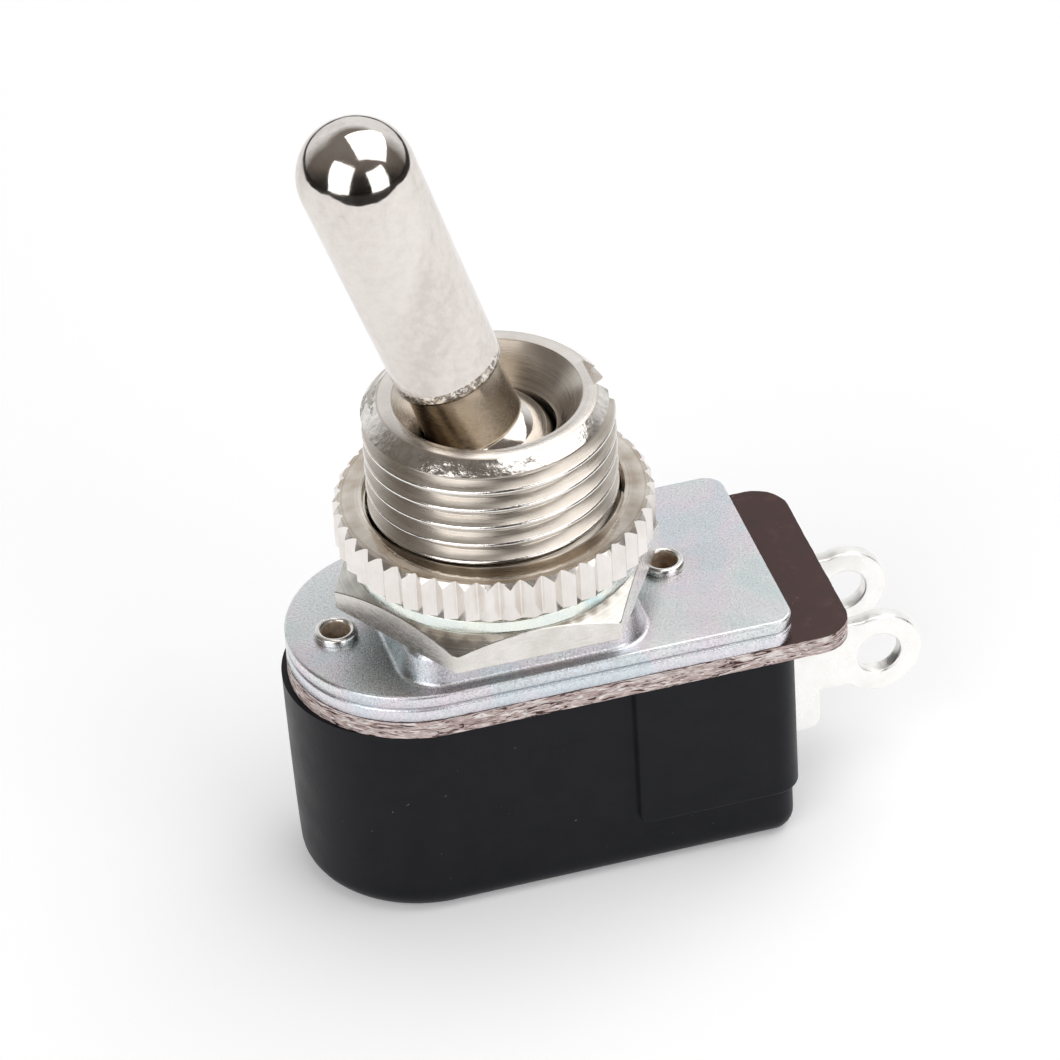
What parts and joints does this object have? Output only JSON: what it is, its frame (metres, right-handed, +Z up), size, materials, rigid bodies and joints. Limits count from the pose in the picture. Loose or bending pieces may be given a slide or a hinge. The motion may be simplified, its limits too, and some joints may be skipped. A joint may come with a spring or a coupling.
{
  "type": "panel toggle switch",
  "caption": "Bat-lever toggle switch with a threaded panel bushing, hexagon and knurled nuts, a moulded case and two solder lugs.",
  "frame": {"origin": "on the bushing's axis, level with the top face of the upper steel plate", "axes": "+Z up the bushing's axis towards the lever, +X along the case towards the solder lugs, Y across the case"},
  "size_m": [0.0309, 0.0152, 0.0416],
  "materials": {
    "phenolic_case": "black moulded phenolic, satin gloss",
    "fibre_board": "brown laminated fibre board, fibrous pink-brown edge",
    "zinc_plate": "bright zinc plating with a faint violet and blue passivation",
    "washer_zinc": "zinc plating with a greenish sheen",
    "nickel": "warm bright nickel plating over turned brass",
    "steel": "bare steel",
    "tin_lug": "dull tin plating",
    "carrier_phenolic": "brown moulded phenolic, matt",
    "brass": "plain brass",
    "silver": "silver contact metal"
  },
  "bodies": {
    "switch_body": {"case": "phenolic_case", "insulating_board": "fibre_board", "lower_plate": "zinc_plate", "upper_plate": "zinc_plate", "threaded_bushing": "nickel", "hex_nut": "nickel", "detent_spring": "brass", "terminal_front": "tin_lug", "terminal_rear": "tin_lug", "eyelet_left": "nickel", "eyelet_right": "nickel"},
    "lever": {"bat_lever": "nickel", "pivot_pin": "steel", "drive_rod": "steel"},
    "carrier": {"contact_carrier": "carrier_phenolic", "bridge_sleeve": "brass", "contact_button_front": "silver", "contact_button_rear": "silver", "contact_spring": "steel"},
    "washer": {"lock_washer": "washer_zinc"},
    "panel_nut": {"knurled_nut": "nickel"}
  },
  "joints": [
    {"name": "lever_throw", "type": "hinge", "parent": "switch_body", "child": "lever", "pos_m": [0, 0, 0.00838], "axis": [0, 1, 0], "range_deg": [0, 35]},
    {"name": "carrier_slide", "type": "slide", "parent": "switch_body", "child": "carrier", "axis": [-1, 0, 0], "range_m": [0, 0.00722], "deforming": ["detent_spring"]},
    {"name": "washer_rise", "type": "slide", "parent": "switch_body", "child": "washer", "axis": [0, 0, 1], "range_m": [0, 0.005]},
    {"name": "nut_turn", "type": "hinge", "parent": "washer", "child": "panel_nut", "pos_m": [0, 0, 0.005], "axis": [0, 0, 1], "range_deg": [0, 1800]}
  ],
  "couplings": [
    {"joint": "carrier_slide", "follows": "lever_throw", "m_per_rad": 0.011814},
    {"joint": "nut_turn", "follows": "washer_rise", "rad_per_m": 6283.2}
  ]
}
